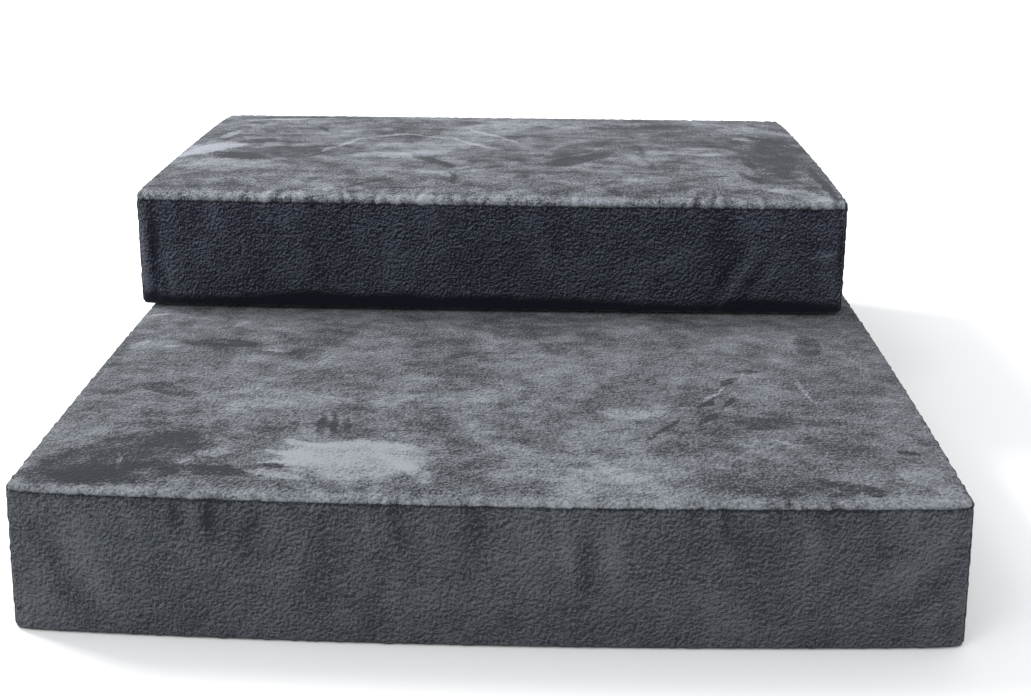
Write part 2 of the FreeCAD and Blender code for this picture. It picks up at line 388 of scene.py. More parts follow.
# ------------------------------------------------------------------ covers
# Each cover is short-pile velour on a woven base, sewn edge to edge with the seams turned inside, and has a
# zip across its back. It rolls over the foam's edges to tight seams, which gather it in small folds.
cloth_thick = 1.6 * millimetre
cover_pitch = 8 * millimetre
roll = 5.5 * millimetre
seam_deep = 1.8 * millimetre
seam_half = 1.6 * millimetre
fine_band = 34 * millimetre
finest_band = 20 * millimetre
grip_height = 0.7 * millimetre
SEAM_DROPS = {"lower": 6 * millimetre, "upper": 10 * millimetre}
zip_gap_half = (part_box("lower_back_strip_upper")[0].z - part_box("lower_back_strip_lower")[1].z) / 2
hem_line = zip_gap_half + 5 * millimetre
hem_groove = 0.9 * millimetre
# Reach and strength of the painted highlight along the rolled front top edge, and the fold height that
# gives full painted shade or highlight.
edge_highlight_reach = 9 * millimetre
edge_highlight_tone = 0.9
fold_for_full_shade = 2 * millimetre


def refine(block, low, high, band, also=()):
    """Halves the squares that lie beside the seams, and those of whole panels."""
    away = distances(face_centres(block), low, high)
    faces = np.array([away[name] for name in PANELS])
    nearest = np.sort(faces, axis=0)
    chosen = nearest[1] < band
    for name in also:
        chosen |= away[name] < touching
    chosen &= away["underside"] > touching
    select_faces(block, chosen)
    bpy.ops.mesh.subdivide(number_cuts=1)
    bpy.ops.object.mode_set(mode="OBJECT")


def cut_beside_seams(block, low, high, places):
    """Adds rows of points close along every seam."""
    only(block)
    bpy.ops.object.mode_set(mode="EDIT")
    for axis in range(3):
        for place in places:
            for level in (low[axis] + place, high[axis] - place):
                spot, normal = list(low), [0, 0, 0]
                spot[axis], normal[axis] = level, 1
                bpy.ops.mesh.select_all(action="SELECT")
                bpy.ops.mesh.bisect(plane_co=spot, plane_no=normal)
    bpy.ops.object.mode_set(mode="OBJECT")


def cut_levels(block, levels):
    """Adds a level row of points all round a block at each height."""
    only(block)
    bpy.ops.object.mode_set(mode="EDIT")
    for level in levels:
        bpy.ops.mesh.select_all(action="SELECT")
        bpy.ops.mesh.bisect(plane_co=(0, 0, level), plane_no=(0, 0, 1))
    bpy.ops.object.mode_set(mode="OBJECT")


def seam_distances(away, drop):
    """How far each point lies, along the cloth, from the seams of the panel that it is on."""
    off = {}
    for on, (axis, _) in PANELS.items():
        for beside, (other_axis, _) in PANELS.items():
            if axis != other_axis:
                off[on, beside] = np.where(away[on] < touching, away[beside], np.inf)
    rolled = (away["front"] < touching) & (away["top"] < drop)
    off["top", "front"] = np.where(rolled, drop - away["top"], off["top", "front"] + drop)
    off["front", "top"] = np.where(rolled, np.inf, off["front", "top"] - drop)
    return off


def panel_of_faces(block, low, high):
    """The name of the panel that each face of an unformed cover belongs to."""
    away = distances(face_centres(block), low, high)
    names = np.array(list(PANELS), dtype="U20")
    return names[np.argmin(np.array([away[name] for name in names]), axis=0)]


def gathers(rest, off_seams, low, on, beside, height, reach, pitch, seed):
    """How far small uneven folds on one panel stand out beside one of its seams."""
    axes = {PANELS[on][0], PANELS[beside][0]}
    run = ({0, 1, 2} - axes).pop()
    near = off_seams[on, beside] < 4 * reach
    along, off = rest[near, run], off_seams[on, beside][near]
    rise = np.zeros(len(along))
    source = random.Random(seed)
    place = low[run]
    while place < along.max():
        place += source.uniform(0.6, 1.5) * pitch
        size = source.choice((-1, 1)) * source.uniform(0.1, 1)
        wide = source.uniform(0.12, 0.26) * pitch
        lean = source.uniform(-0.35, 0.35)
        far = reach * source.uniform(0.7, 1.6)
        across = (along - place - lean * off) / wide
        pair = np.exp(-(across**2)) - 0.8 * np.exp(-((across - 1.8) ** 2))
        rise += size * pair * np.exp(-((off / far) ** 2))
    out = np.zeros(len(rest))
    out[near] = height * rise
    return out


def crease(rest, away, low, start, end, wide, height):
    """How far one long soft fold on the front panel stands out."""
    flat = rest[:, [0, 2]] - low[[0, 2]]
    start, end = np.array(start) * millimetre, np.array(end) * millimetre
    line = end - start
    share = np.clip((flat - start) @ line / (line @ line), 0, 1)
    off = np.linalg.norm(flat - start - share[:, None] * line, axis=1)
    taper = np.sin(np.pi * np.clip(0.08 + 0.84 * share, 0, 1))
    profile = np.exp(-((off / (wide * millimetre)) ** 2))
    return (away["front"] < touching) * height * taper * profile * millimetre


# Gathers beside the seams: panel, the seam's other panel, then height, length and pitch in millimetres on
# the lower block and, where they differ, on the upper.
GATHERS = (
    ("top", "front", (1.1, 11, 17), (1.9, 22, 19)),
    ("top", "left", (0.8, 8, 17), (0.8, 8, 16)),
    ("top", "right", (0.8, 8, 17), (0.8, 8, 16)),
    ("top", "back", (1.0, 8, 16)),
    ("front", "top", (0.9, 14, 22), (0.7, 12, 20)),
    ("front", "underside", (0.7, 8, 19)),
    ("left", "top", (1.1, 12, 20)),
    ("right", "top", (1.1, 12, 20)),
    ("left", "front", (0.9, 9, 18), (1.0, 10, 18)),
    ("right", "front", (0.9, 9, 18), (1.0, 10, 18)),
    ("front", "left", (0.9, 10, 24)),
    ("front", "right", (0.9, 10, 24)),
    ("back", "top", (0.9, 10, 18)),
    ("left", "underside", (0.7, 8, 19)),
    ("right", "underside", (0.7, 8, 19)),
)
FIRST_SEEDS = {"lower": 11, "upper": 31}
# Longer folds on each front panel, in millimetres: both ends, from its low left corner, half width, height.
CREASES = {
    "lower": (
        ((161, 145), (163, 112), 5, -1.8), ((194, 147), (196, 105), 7, -2.4),
        ((178, 148), (180, 112), 6, 1.2), ((236, 140), (228, 104), 9, -1.3),
        ((262, 150), (244, 96), 8, 1.0), ((366, 150), (372, 100), 8, -1.6),
        ((392, 150), (398, 108), 7, 1.2), ((448, 150), (436, 90), 9, -1.4),
        ((520, 146), (528, 62), 9, 1.3), ((545, 140), (541, 50), 8, -1.6),
        ((566, 140), (570, 70), 8, 1.2), ((668, 148), (672, 112), 5, -1.6),
        ((740, 150), (752, 96), 9, 1.0), ((872, 120), (800, 44), 12, 1.2),
        ((885, 96), (838, 30), 10, -1.2), ((60, 130), (96, 30), 14, 1.4), ((30, 120), (62, 24), 12, -1.2),
    ),
    "upper": (
        ((9, 138), (10, 14), 6, 2.2), ((22, 140), (20, 6), 7, -2.6), ((40, 54), (42, 14), 3.5, 2.6),
        ((34, 60), (35, 20), 5, -1.6), ((96, 146), (110, 96), 9, 1.2), ((786, 88), (742, 8), 5, 1.8),
        ((770, 92), (724, 12), 5, -1.6), ((804, 84), (764, 10), 6, -1.4), ((822, 80), (786, 20), 6, 1.2),
        ((704, 84), (634, 42), 6, 1.0), ((888, 84), (858, 74), 4, 2.0), ((880, 110), (836, 124), 7, 1.1),
        ((892, 130), (893, 20), 4, -1.8),
    ),
}


def stand_out(side, rest, away, off_seams, low):
    """How far the folds of one cover stand out from its smooth form."""
    rise = np.zeros(len(rest))
    for seed, (on, beside, *both) in enumerate(GATHERS, FIRST_SEEDS[side]):
        sizes = [size * millimetre for size in both[0 if side == "lower" else -1]]
        rise += gathers(rest, off_seams, low, on, beside, *sizes, seed)
    for fold in CREASES[side]:
        rise += crease(rest, away, low, *fold)
    return rise


def formed_cover(side):
    """One whole cover in its final shape, and the panel of each face."""
    low, high = cover_box(side)
    block = gridded_box(f"{side}_cover", low, high, cover_pitch)
    cut_beside_seams(block, low, high, (1.5 * millimetre, 3.5 * millimetre))
    middle = (low[2] + high[2]) / 2
    seam_level = high[2] - SEAM_DROPS[side]
    seam_rows = [seam_level + off * millimetre for off in (-2.5, -1.2, 0, 1.2, 2.5)]
    hem_rows = (zip_gap_half, hem_line - 1.5 * millimetre, hem_line, hem_line + 1.5 * millimetre)
    cut_levels(block, seam_rows + [middle + off for off in hem_rows] + [middle - off for off in hem_rows])
    refine(block, low, high, fine_band, also=("front",))
    refine(block, low, high, finest_band)
    panel_names = panel_of_faces(block, low, high)
    centre_heights = face_centres(block)[:, 2]
    panel_names[(panel_names == "front") & (centre_heights > seam_level)] = "top"
    panel_names[(panel_names == "back") & (np.abs(centre_heights - middle) < zip_gap_half)] = "opening"
    panel_names[(panel_names == "back") & (centre_heights > middle)] = "back_strip_upper"
    panel_names[panel_names == "back"] = "back_strip_lower"
    rest = positions(block)
    away = distances(rest, low, high)
    follow(block, side)
    eased, outward = rounded_outward(rest, low, high, roll)
    off_seams = seam_distances(away, SEAM_DROPS[side])
    folds = stand_out(side, rest, away, off_seams, low)
    nearest_seam = np.min(list(off_seams.values()), axis=0)
    groove = seam_deep * np.exp(-((nearest_seam / seam_half) ** 2))
    hem = hem_groove * np.exp(-(((np.abs(rest[:, 2] - middle) - hem_line) / (1.2 * millimetre)) ** 2))
    groove += hem * (away["back"] < touching)
    groove[away["underside"] < touching] = 0
    lift = folds - groove
    # Painted highlight along the rolled front top edge.
    painted_edge_highlight = np.exp(-(((away["front"] + away["top"]) / edge_highlight_reach) ** 2))
    painted_edge_highlight *= rest[:, 2] > seam_level - 0.1 * millimetre
    final = positions(block) + eased - rest + drawn(side, rest) + outward * lift[:, None]
    final[:, 2] = np.maximum(final[:, 2], low[2] + (grip_height if side == "lower" else 0))
    move_points(block, final)
    # Painted shade and highlight, stored as the 'fold' attribute: the cloth is darkened in the grooves,
    # lightened on the folds that stand out, and lightened along the rolled front top edge.
    painted_fold_shade_and_highlight = lift / fold_for_full_shade + painted_edge_highlight * edge_highlight_tone
    fold = block.data.attributes.new("fold", "FLOAT", "POINT")
    fold.data.foreach_set("value", painted_fold_shade_and_highlight.astype(np.float32))
    return block, panel_names


def cut_panel(cover, name, kept):
    """One sewn panel with its thickness, from the faces of a whole cover."""
    panel = cover.copy()
    panel.data = cover.data.copy()
    panel.name = name
    bpy.context.scene.collection.objects.link(panel)
    select_faces(panel, ~kept)
    bpy.ops.mesh.delete(type="FACE")
    bpy.ops.object.mode_set(mode="OBJECT")
    wall = panel.modifiers.new("Cloth thickness", "SOLIDIFY")
    wall.thickness = cloth_thick
    wall.offset = -1
    apply_modifiers(panel)
    panel.data.shade_smooth()
    return panel


def velour(name, tones, level, emboss_tone, lean, tuft_depth, strokes=(), patches=0.0, smooth_and_shaded_below=None):
    """Short-pile velour. A painted emboss, made by offsetting the tufts, puts painted highlight on one side
    of each small tuft and painted shade on the other. The pile has been brushed this way and that, which
    shows as light and dark patches."""
    material, place, shader = new_finish(name)
    ragged = place.shift(place.noise(22, 4, 0.7, output=1), 0.03)
    ragged = ragged.shift(place.noise(120, 2, output=1), 0.005)
    cloudy = place.shift(place.noise(7, 3, output=1), 0.09)
    fine_edge = place.noise(50, 2, output=1)
    broad = cloudy.shift(fine_edge, 0.02).noise(6, 7, 0.72)
    patch = ragged.noise(11, 4, 0.6).step(0.46, 0.54)
    streak = cloudy.shift(fine_edge, 0.012).turned((7, 40, 20), (0, 0, -20)).noise(1, 5, 0.66)
    mottle = place.turned((0.7, 1, 1)).noise(46, 6, 0.72)
    tufts = place.shift(place.noise(90, 2, output=1), 0.006)
    tuft = tufts.noise(290, 3, 0.6)
    # The tufts, moved by a small offset, for the painted emboss of highlight and shade.
    behind = tufts.add("VectorMath", {"operation": "ADD"}, {0: tufts, 1: lean}).noise(290, 3, 0.6)
    grain = place.noise(430, 3, 0.75)
    tone = (mottle - 0.5) * (0.7 + patches)
    if patches:
        tone = tone + ((broad - 0.5) * 1.9 + (patch - 0.5) * 0.12 + (streak - 0.5) * 0.9) * patches
    else:
        tone = tone + (cloudy.turned((20, 20, 4)).noise(1, 5, 0.6) - 0.5) * 0.7 + (broad - 0.5) * 0.8
    for start, end, wide, depth in strokes:
        tone = tone + ragged.stroke(start, end, wide) * depth
    # Painted highlight and shade: the tufts less their offset copy light one side of each tuft and darken
    # the other. The grain adds a random speckle.
    emboss_and_grain = (tuft - behind) * emboss_tone + (grain - 0.5) * (0.5 + patches * 2.2)
    height = tuft + mottle * 1.2
    if smooth_and_shaded_below:
        wavy = place.shift(place.noise(5, 3, output=1), 0.05)
        above = wavy.add("SeparateXYZ", None, {"Vector": wavy}, "Z")
        rough = above.step(smooth_and_shaded_below - 0.004, smooth_and_shaded_below + 0.008)
        # Painted shade: below this height the upper block's walls are darkened where they meet the lower
        # tread, and lose their pile relief and bump.
        tone = tone * rough - (1 - rough) * 0.3
        emboss_and_grain = emboss_and_grain * rough
        height = height * rough
    # The 'fold' attribute adds painted shade in the grooves and painted highlight on raised folds and along
    # the rolled front top edge.
    fold = place.add("Attribute", {"attribute_name": "fold"}, output="Fac")
    tone = tone + emboss_and_grain + level + fold * 0.4
    colour = tone.between(*tones)
    bump = height.bump(1.0, tuft_depth)
    place.feed(shader, {"Base Color": colour, "Roughness": 0.92, "Normal": bump})
    place.feed(shader, {"Sheen Weight": 0.08, "Sheen Roughness": 0.5, "Specular IOR Level": 0.15})
    return material


# Where a hand or paw has brushed the pile of each tread: both ends of the mark, its width, and how much
# lighter or darker it is. They are in millimetres from the block's front left corner.
STROKES = {
    "lower": (
        ((270, 55), (370, 60), 75, 0.6), ((250, 90), (300, 80), 10, 0.5), ((235, 70), (280, 65), 10, 0.5),
        ((230, 47), (270, 54), 8, 0.5), ((220, 32), (275, 20), 10, 0.4), ((360, 50), (400, 20), 15, 0.3),
        ((230, 40), (270, 40), 5, -0.35), ((165, 35), (215, 28), 18, -0.35),
        ((30, 20), (150, 100), 75, -0.3), ((50, 20), (150, 30), 40, -0.25),
        ((155, 48), (165, 52), 8, 0.35), ((170, 62), (200, 70), 16, 0.3), ((88, 64), (100, 24), 5, 0.35),
        ((272, 156), (281, 102), 9, -0.3), ((285, 156), (292, 108), 8, -0.35),
        ((298, 146), (304, 118), 7, -0.25), ((172, 320), (198, 322), 9, 0.35),
        ((56, 332), (70, 335), 8, 0.35), ((124, 400), (136, 410), 8, 0.35),
        ((5, 448), (25, 450), 10, 0.5), ((75, 348), (160, 340), 24, -0.3),
        ((320, 185), (460, 205), 36, 0.25), ((355, 70), (395, 70), 16, -0.25),
        ((670, 200), (700, 237), 5, 0.55), ((668, 190), (684, 212), 10, -0.4),
        ((700, 243), (717, 262), 11, -0.4), ((690, 188), (706, 210), 7, -0.4),
        ((662, 148), (686, 172), 12, -0.35), ((820, 385), (816, 338), 30, -0.25),
        ((722, 280), (742, 280), 9, -0.35), ((788, 265), (790, 206), 6, 0.35),
        ((712, 150), (752, 148), 30, -0.25), ((732, 112), (747, 105), 8, 0.35),
        ((857, 92), (872, 92), 9, -0.4), ((850, 50), (885, 24), 28, 0.25),
        ((570, 170), (630, 175), 28, 0.25), ((440, 34), (620, 35), 26, 0.25),
        ((608, 105), (640, 152), 5, -0.35), ((765, 27), (815, 17), 18, -0.3),
        ((70, 222), (125, 198), 22, -0.25), ((10, 333), (32, 350), 12, 0.35),
    ),
    "upper": (
        ((330, 200), (480, 430), 90, 0.2), ((815, 80), (862, 330), 60, -0.25),
        ((500, 150), (665, 250), 50, -0.2), ((590, 385), (800, 400), 32, -0.2),
        ((50, 175), (175, 230), 45, -0.2), ((80, 370), (165, 410), 50, 0.2),
        ((10, 205), (70, 250), 44, 0.7), ((40, 295), (52, 330), 20, 0.55), ((0, 186), (28, 215), 16, 0.6),
        ((50, 198), (128, 165), 30, -0.4), ((70, 260), (120, 282), 26, -0.35),
        ((35, 420), (192, 438), 12, 0.45), ((35, 440), (190, 455), 14, -0.4),
        ((62, 380), (72, 390), 12, 0.4), ((170, 368), (190, 338), 8, -0.45),
        ((198, 204), (246, 290), 9, 0.45), ((240, 284), (314, 330), 9, 0.45),
        ((308, 328), (388, 297), 9, 0.4), ((380, 298), (456, 230), 9, 0.4),
        ((190, 180), (206, 202), 9, -0.4), ((250, 195), (338, 188), 30, 0.4),
        ((268, 28), (320, 74), 9, -0.45), ((316, 27), (370, 30), 8, -0.4),
        ((334, 196), (390, 132), 18, -0.45), ((390, 98), (400, 48), 8, -0.4),
        ((410, 118), (457, 133), 14, -0.4), ((400, 366), (484, 274), 9, 0.45),
        ((530, 152), (600, 202), 40, -0.4), ((540, 212), (605, 288), 44, -0.3),
        ((653, 255), (665, 135), 11, -0.3), ((705, 230), (780, 235), 50, 0.45),
        ((805, 318), (822, 318), 20, 0.4), ((826, 334), (884, 295), 14, -0.45),
        ((880, 300), (894, 258), 12, -0.45), ((798, 196), (806, 142), 16, -0.45),
        ((780, 112), (807, 68), 14, -0.4), ((826, 97), (853, 98), 12, -0.55),
        ((812, 42), (874, 14), 26, 0.45), ((736, 92), (760, 96), 6, -0.4),
        ((882, 150), (888, 5), 14, -0.45),
    ),
}


def placed_strokes(side):
    """A tread's brush marks in metres in the object's own frame."""
    low, high = cover_box(side)
    corner = Vector((low[0], low[1], high[2]))
    for start, end, wide, depth in STROKES[side]:
        ends = [corner + Vector((*point, 0)) * millimetre for point in (start, end)]
        yield *ends, wide * millimetre, depth


def base_cloth_finish():
    """Plain black woven base cloth."""
    material, place, shader = new_finish("base_cloth")
    weft = place.add("TexWave", {"bands_direction": "X"}, {"Vector": place, "Scale": 260.0})
    warp = place.add("TexWave", {"bands_direction": "Y"}, {"Vector": place, "Scale": 260.0}, "Fac")
    weave = place.add("SeparateColor", None, {"Color": weft}) * warp
    tone = weave * 0.6 + place.noise(12, 4) * 0.5
    dark, light = (0.012, 0.012, 0.013), (0.05, 0.05, 0.053)
    colour = tone.between(dark, light)
    bump = weave.bump(0.5, 0.0006)
    place.feed(shader, {"Base Color": colour, "Roughness": 0.85, "Normal": bump})
    return material


# Painted light and shade: the same velour is given light tones on the treads and dark tones on the walls,
# darker still on the upper block's walls. The upper tread is also a little lighter than the lower.
LIT_TREAD_TONES = {
    "lower": ((0.016, 0.018, 0.023), (0.228, 0.242, 0.264)),
    "upper": ((0.017, 0.019, 0.025), (0.246, 0.26, 0.288)),
}
SHADED_WALL_TONES = {
    "lower": ((0.013, 0.016, 0.021), (0.099, 0.107, 0.117)),
    "upper": ((0.003, 0.004, 0.01), (0.086, 0.095, 0.122)),
}
# Offsets for the painted emboss that lights one side of each tuft and shades the other.
tread_emboss_offset = (-0.0009, 0.0012, 0)
wall_emboss_offset = (-0.0007, 0, 0.0012)
tread_tuft, wall_tuft = 1.2 * millimetre, 2.4 * millimetre
# Height above the upper block's foot below which its walls get painted shade and no pile relief.
shaded_foot_level = cover_box("upper")[0][2] + 17 * millimetre
TREADS = {
    side: velour(
        f"{side}_lit_tread_velour", LIT_TREAD_TONES[side], 0.29, 1.2, tread_emboss_offset, tread_tuft,
        strokes=placed_strokes(side), patches=patches,
    )
    for side, patches in (("lower", 0.7), ("upper", 1.1))
}
# The walls' darker tones and levels are painted shade.
WALLS = {
    "lower": velour("lower_shaded_wall_velour", SHADED_WALL_TONES["lower"], 0.38, 3.2, wall_emboss_offset, wall_tuft),
    "upper": velour(
        "upper_shaded_wall_velour", SHADED_WALL_TONES["upper"], 0.25, 4.2, wall_emboss_offset, wall_tuft, smooth_and_shaded_below=shaded_foot_level
    ),
}
base_cloth = base_cloth_finish()

for side in ("lower", "upper"):
    cover, panel_names = formed_cover(side)
    low, high = cover_box(side)
    width, depth, height = high - low
    cuts = {
        "top_panel": (width, depth + SEAM_DROPS[side]),
        "underside_panel": (width, depth),
        "front_panel": (width, height - SEAM_DROPS[side]),
        "left_panel": (depth, height),
        "right_panel": (depth, height),
        "back_strip_upper": (width, height / 2 - zip_gap_half),
        "back_strip_lower": (width, height / 2 - zip_gap_half),
    }
    finishes = {"top_panel": (TREADS[side], "velour"), "underside_panel": (base_cloth, "base_cloth")}
    for node, flat in cuts.items():
        finish, slot = finishes.get(node, (WALLS[side], "velour"))
        kept = panel_names == node.removesuffix("_panel")
        panel = cut_panel(cover, f"{side}_{node}_cloth", kept)
        fit(panel, finish, f"{side}_block", slot, f"{side}_{node}")
    bpy.data.objects.remove(cover)
    bpy.data.objects.remove(CAGES[side][0])

# ------------------------------------------------------------------ grip dots
# The lower block stands on rubber dots, printed on its base cloth in rows, so that it can't slide on a
# smooth floor. Each dot is a low six-sided post, a little sunk in the cloth.
dot_pitch = 15 * millimetre
dot_radius = 2.6 * millimetre
dot_sunk = 0.3 * millimetre
dot_margin = 22 * millimetre


def repeated(piece, counts, pitches):
    """Copies a piece in rows along X and Y."""
    for axis, (count, pitch) in enumerate(zip(counts, pitches)):
        rows = piece.modifiers.new("Rows", "ARRAY")
        rows.count = count
        rows.use_relative_offset = False
        rows.use_constant_offset = True
        rows.constant_offset_displace = [pitch if index == axis else 0 for index in range(3)]
    apply_modifiers(piece)


def tapered_post(name, middle, radius, height, sides, top_share, pointing=1):
    """A short many-sided post whose far end is narrower."""
    cylinder = bpy.ops.mesh.primitive_cylinder_add
    post = primitive(cylinder, name, vertices=sides, radius=radius, depth=height, location=middle)
    heights = face_centres(post)[:, 2] * pointing
    select_faces(post, heights > heights.max() - height / 4)
    bpy.ops.transform.resize(value=(top_share, top_share, 1), center_override=middle)
    bpy.ops.object.mode_set(mode="OBJECT")
    return post


def rubber_finish():
    """Matt black rubber with a faint bloom."""
    material, place, shader = new_finish("grip_rubber")
    bloom = place.noise(90, 3)
    dark, light = (0.01, 0.01, 0.011), (0.035, 0.035, 0.036)
    colour = bloom.between(dark, light)
    bump = place.noise(900, 2).bump(0.3, 0.0002)
    place.feed(shader, {"Base Color": colour, "Roughness": bloom * 0.3 + 0.5, "Normal": bump})
    return material


low, high = cover_box("lower")
spans = (high - low)[:2] - 2 * dot_margin
counts = [int(span / dot_pitch) + 1 for span in spans]
dot_height = grip_height + dot_sunk
first_dot = (*(low[:2] + dot_margin), low[2] + dot_height / 2)
dots = tapered_post("lower_grip_dots", first_dot, dot_radius, dot_height, 6, 0.7, pointing=-1)
repeated(dots, counts, [dot_pitch] * 2)
fit(dots, rubber_finish(), "lower_block", "base_cloth")

# ------------------------------------------------------------------ stitching
# Charcoal polyester thread, lockstitched by machine in a shallow groove along the hems beside each zip, and
# flat round the edges of the fastening strips.
thread_radius = 0.35 * millimetre
stitch_pitch = 3.6 * millimetre
stitch_length = 2.9 * millimetre


def thread_finish():
    """Charcoal twisted thread."""
    material, place, shader = new_finish("thread")
    twist = place.turned((900, 900, 900), (20, 30, 40)).noise(1, 1)
    dark, light = (0.02, 0.021, 0.024), (0.1, 0.103, 0.11)
    colour = twist.between(dark, light)
    place.feed(shader, {"Base Color": colour, "Roughness": 0.6})
    return material


thread = thread_finish()


def stitch_row(start, axis, length):
    """A row of stitches from a point along X or Y."""
    turn = (0, math.pi / 2, 0) if axis == 0 else (math.pi / 2, 0, 0)
    row = primitive(bpy.ops.mesh.primitive_cylinder_add, "stitches", vertices=6, radius=thread_radius,
                    depth=stitch_length, location=start, rotation=turn)
    off = np.abs(face_centres(row)[:, axis] - start[axis])
    for end in (-1, 1):
        select_faces(row, end * (face_centres(row)[:, axis] - start[axis]) > off.max() * 0.9)
        middle = list(start)
        middle[axis] += end * stitch_length / 2
        bpy.ops.transform.resize(value=(0.45, 0.45, 0.45), center_override=middle)
        bpy.ops.object.mode_set(mode="OBJECT")
    count = int(length / stitch_pitch)
    repeated(row, (count, 1) if axis == 0 else (1, count), [stitch_pitch] * 2)
    return row


def joined(pieces, name):
    """Several meshes made one."""
    bpy.ops.object.select_all(action="DESELECT")
    for piece in pieces:
        piece.select_set(True)
    bpy.context.view_layer.objects.active = pieces[0]
    bpy.ops.object.join()
    pieces[0].name = name
    return pieces[0]


for side in ("lower", "upper"):
    low, high = cover_box(side)
    middle = (low[2] + high[2]) / 2
    sunk = high[1] - hem_groove + thread_radius / 2
    inset = 14 * millimetre
    rows = [stitch_row((low[0] + inset, sunk, middle + off), 0, high[0] - low[0] - 2 * inset)
            for off in (-hem_line, hem_line)]
    hems = joined(rows, f"{side}_hem_stitching")
    hems.data.shade_smooth()
    fit(hems, thread, f"{side}_block", "velour")

# ------------------------------------------------------------------ zips
# A long nylon coil zip closes the back of each cover: two woven tapes, a coil sewn to the edge of each,
# metal end stops, and a cast slider with a pull tab on its bridge.
coil_pitch = 1.8 * millimetre
coil_wire = 0.42 * millimetre
tape_dip = 2 * millimetre
metal_edge = 0.25 * millimetre


def tape_finish(name, dark, light, scale):
    """Woven herringbone tape."""
    material, place, shader = new_finish(name)
    rows = place.add("TexWave", {"bands_direction": "DIAGONAL"}, {"Vector": place, "Scale": scale}, "Fac")
    cross = place.add("TexWave", {"bands_direction": "X"}, {"Vector": place, "Scale": scale * 1.7}, "Fac")
    weave = rows * 0.6 + cross * 0.4
    tone = weave * 0.8 + place.noise(30, 3) * 0.3
    colour = tone.between(dark, light)
    bump = weave.bump(0.6, 0.0003)
    place.feed(shader, {"Base Color": colour, "Roughness": 0.8, "Normal": bump})
    return material


def nylon_finish():
    """Smooth dark nylon."""
    material, place, shader = new_finish("coil_nylon")
    tone = place.noise(60, 3)
    dark, light = (0.03, 0.031, 0.035), (0.075, 0.077, 0.083)
    colour = tone.between(dark, light)
    place.feed(shader, {"Base Color": colour, "Roughness": tone * 0.3 + 0.25})
    return material


def metal_finish():
    """Black enamel on zinc, worn through to the metal in small spots and scratches."""
    material, place, shader = new_finish("black_enamel")
    scratch = place.turned((60, 900, 900)).noise(1, 2)
    worn = (place.noise(400, 4, 0.7) * 0.7 + scratch * 0.3).step(0.58, 0.64)
    enamel, zinc = (0.018, 0.018, 0.02), (0.36, 0.36, 0.37)
    colour = worn.between(enamel, zinc)
    bump = scratch.bump(0.3, 0.0001)
    polish = scratch * 0.2 + 0.2
    place.feed(shader, {"Base Color": colour, "Metallic": worn, "Roughness": polish, "Normal": bump})
    return material


def woven_strip(name, node, zip_middle, cell):
    """A zip's woven tape, with a slight ripple. Its edge dips and runs on behind the coil."""
    low, high = (np.array(corner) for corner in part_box(node))
    coil_edge = high[2] if high[2] < zip_middle else low[2]
    outer_edge = low[2] if high[2] < zip_middle else high[2]
    inner_edge = zip_middle + (0.3 * millimetre if outer_edge > zip_middle else -0.3 * millimetre)
    low[2], high[2] = sorted((outer_edge, inner_edge))
    middle, size = (low + high) / 2, high - low
    strip = primitive(bpy.ops.mesh.primitive_grid_add, name, (size[0], size[2], 1), size=1,
                      x_subdivisions=round(size[0] / cell), y_subdivisions=max(4, round(size[2] / cell)),
                      location=middle, rotation=(math.pi / 2, 0, 0))
    points = positions(strip)
    points[:, 1] += 0.12 * millimetre * np.sin(points[:, 0] * 410) * np.cos(points[:, 0] * 173)
    behind = ease(1 - (np.abs(points[:, 2] - zip_middle) - abs(coil_edge - zip_middle)) / millimetre)
    points[:, 1] -= tape_dip * behind
    move_points(strip, points)
    wall = strip.modifiers.new("Thickness", "SOLIDIFY")
    wall.thickness = size[1] * 0.7
    wall.offset = 0
    apply_modifiers(strip)
    return strip


def coil(name, node):
    """One half of a zip's teeth: a flattened spiral of nylon wire."""
    low, high = (np.array(corner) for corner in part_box(node))
    middle, size = (low + high) / 2, high - low
    reach = size[2] / 2 - coil_wire
    circle = bpy.ops.mesh.primitive_circle_add
    spiral = primitive(circle, name, vertices=5, radius=coil_wire, location=(0, reach, 0))
    turn = spiral.modifiers.new("Turns", "SCREW")
    turn.axis = "X"
    turn.iterations = int((size[0] - 2 * coil_wire) / coil_pitch)
    turn.screw_offset = coil_pitch
    turn.steps = turn.render_steps = 9
    apply_modifiers(spiral)
    bpy.ops.object.mode_set(mode="EDIT")
    bpy.ops.mesh.select_all(action="SELECT")
    bpy.ops.mesh.fill_holes(sides=5)
    bpy.ops.mesh.select_all(action="SELECT")
    bpy.ops.mesh.normals_make_consistent(inside=False)
    bpy.ops.object.mode_set(mode="OBJECT")
    points = positions(spiral)
    points[:, 1] *= (size[1] / 2) / (reach + coil_wire)
    points[:, 0] += low[0] - points[:, 0].min()
    points[:, 1:] += middle[1:]
    move_points(spiral, points)
    spiral.data.shade_smooth()
    return spiral


def eased_copy(name, node):
    """A designed metal part with its edges eased as casting and tumbling leave them."""
    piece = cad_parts[node].copy()
    piece.data = piece.data.copy()
    piece.name = name
    for key in list(piece.keys()):
        del piece[key]
    piece.parent = None
    bpy.context.scene.collection.objects.link(piece)
    only(piece)
    bpy.ops.object.mode_set(mode="EDIT")
    bpy.ops.mesh.select_all(action="SELECT")
    bpy.ops.mesh.remove_doubles(threshold=1e-6)
    bpy.ops.mesh.dissolve_limited(angle_limit=math.radians(1))
    bpy.ops.object.mode_set(mode="OBJECT")
    edges = piece.modifiers.new("Eased edges", "BEVEL")
    edges.width = metal_edge
    edges.segments = 2
    edges.limit_method = "ANGLE"
    edges.angle_limit = math.radians(30)
    apply_modifiers(piece)
    bpy.ops.object.shade_smooth_by_angle(angle=math.radians(35))
    return piece


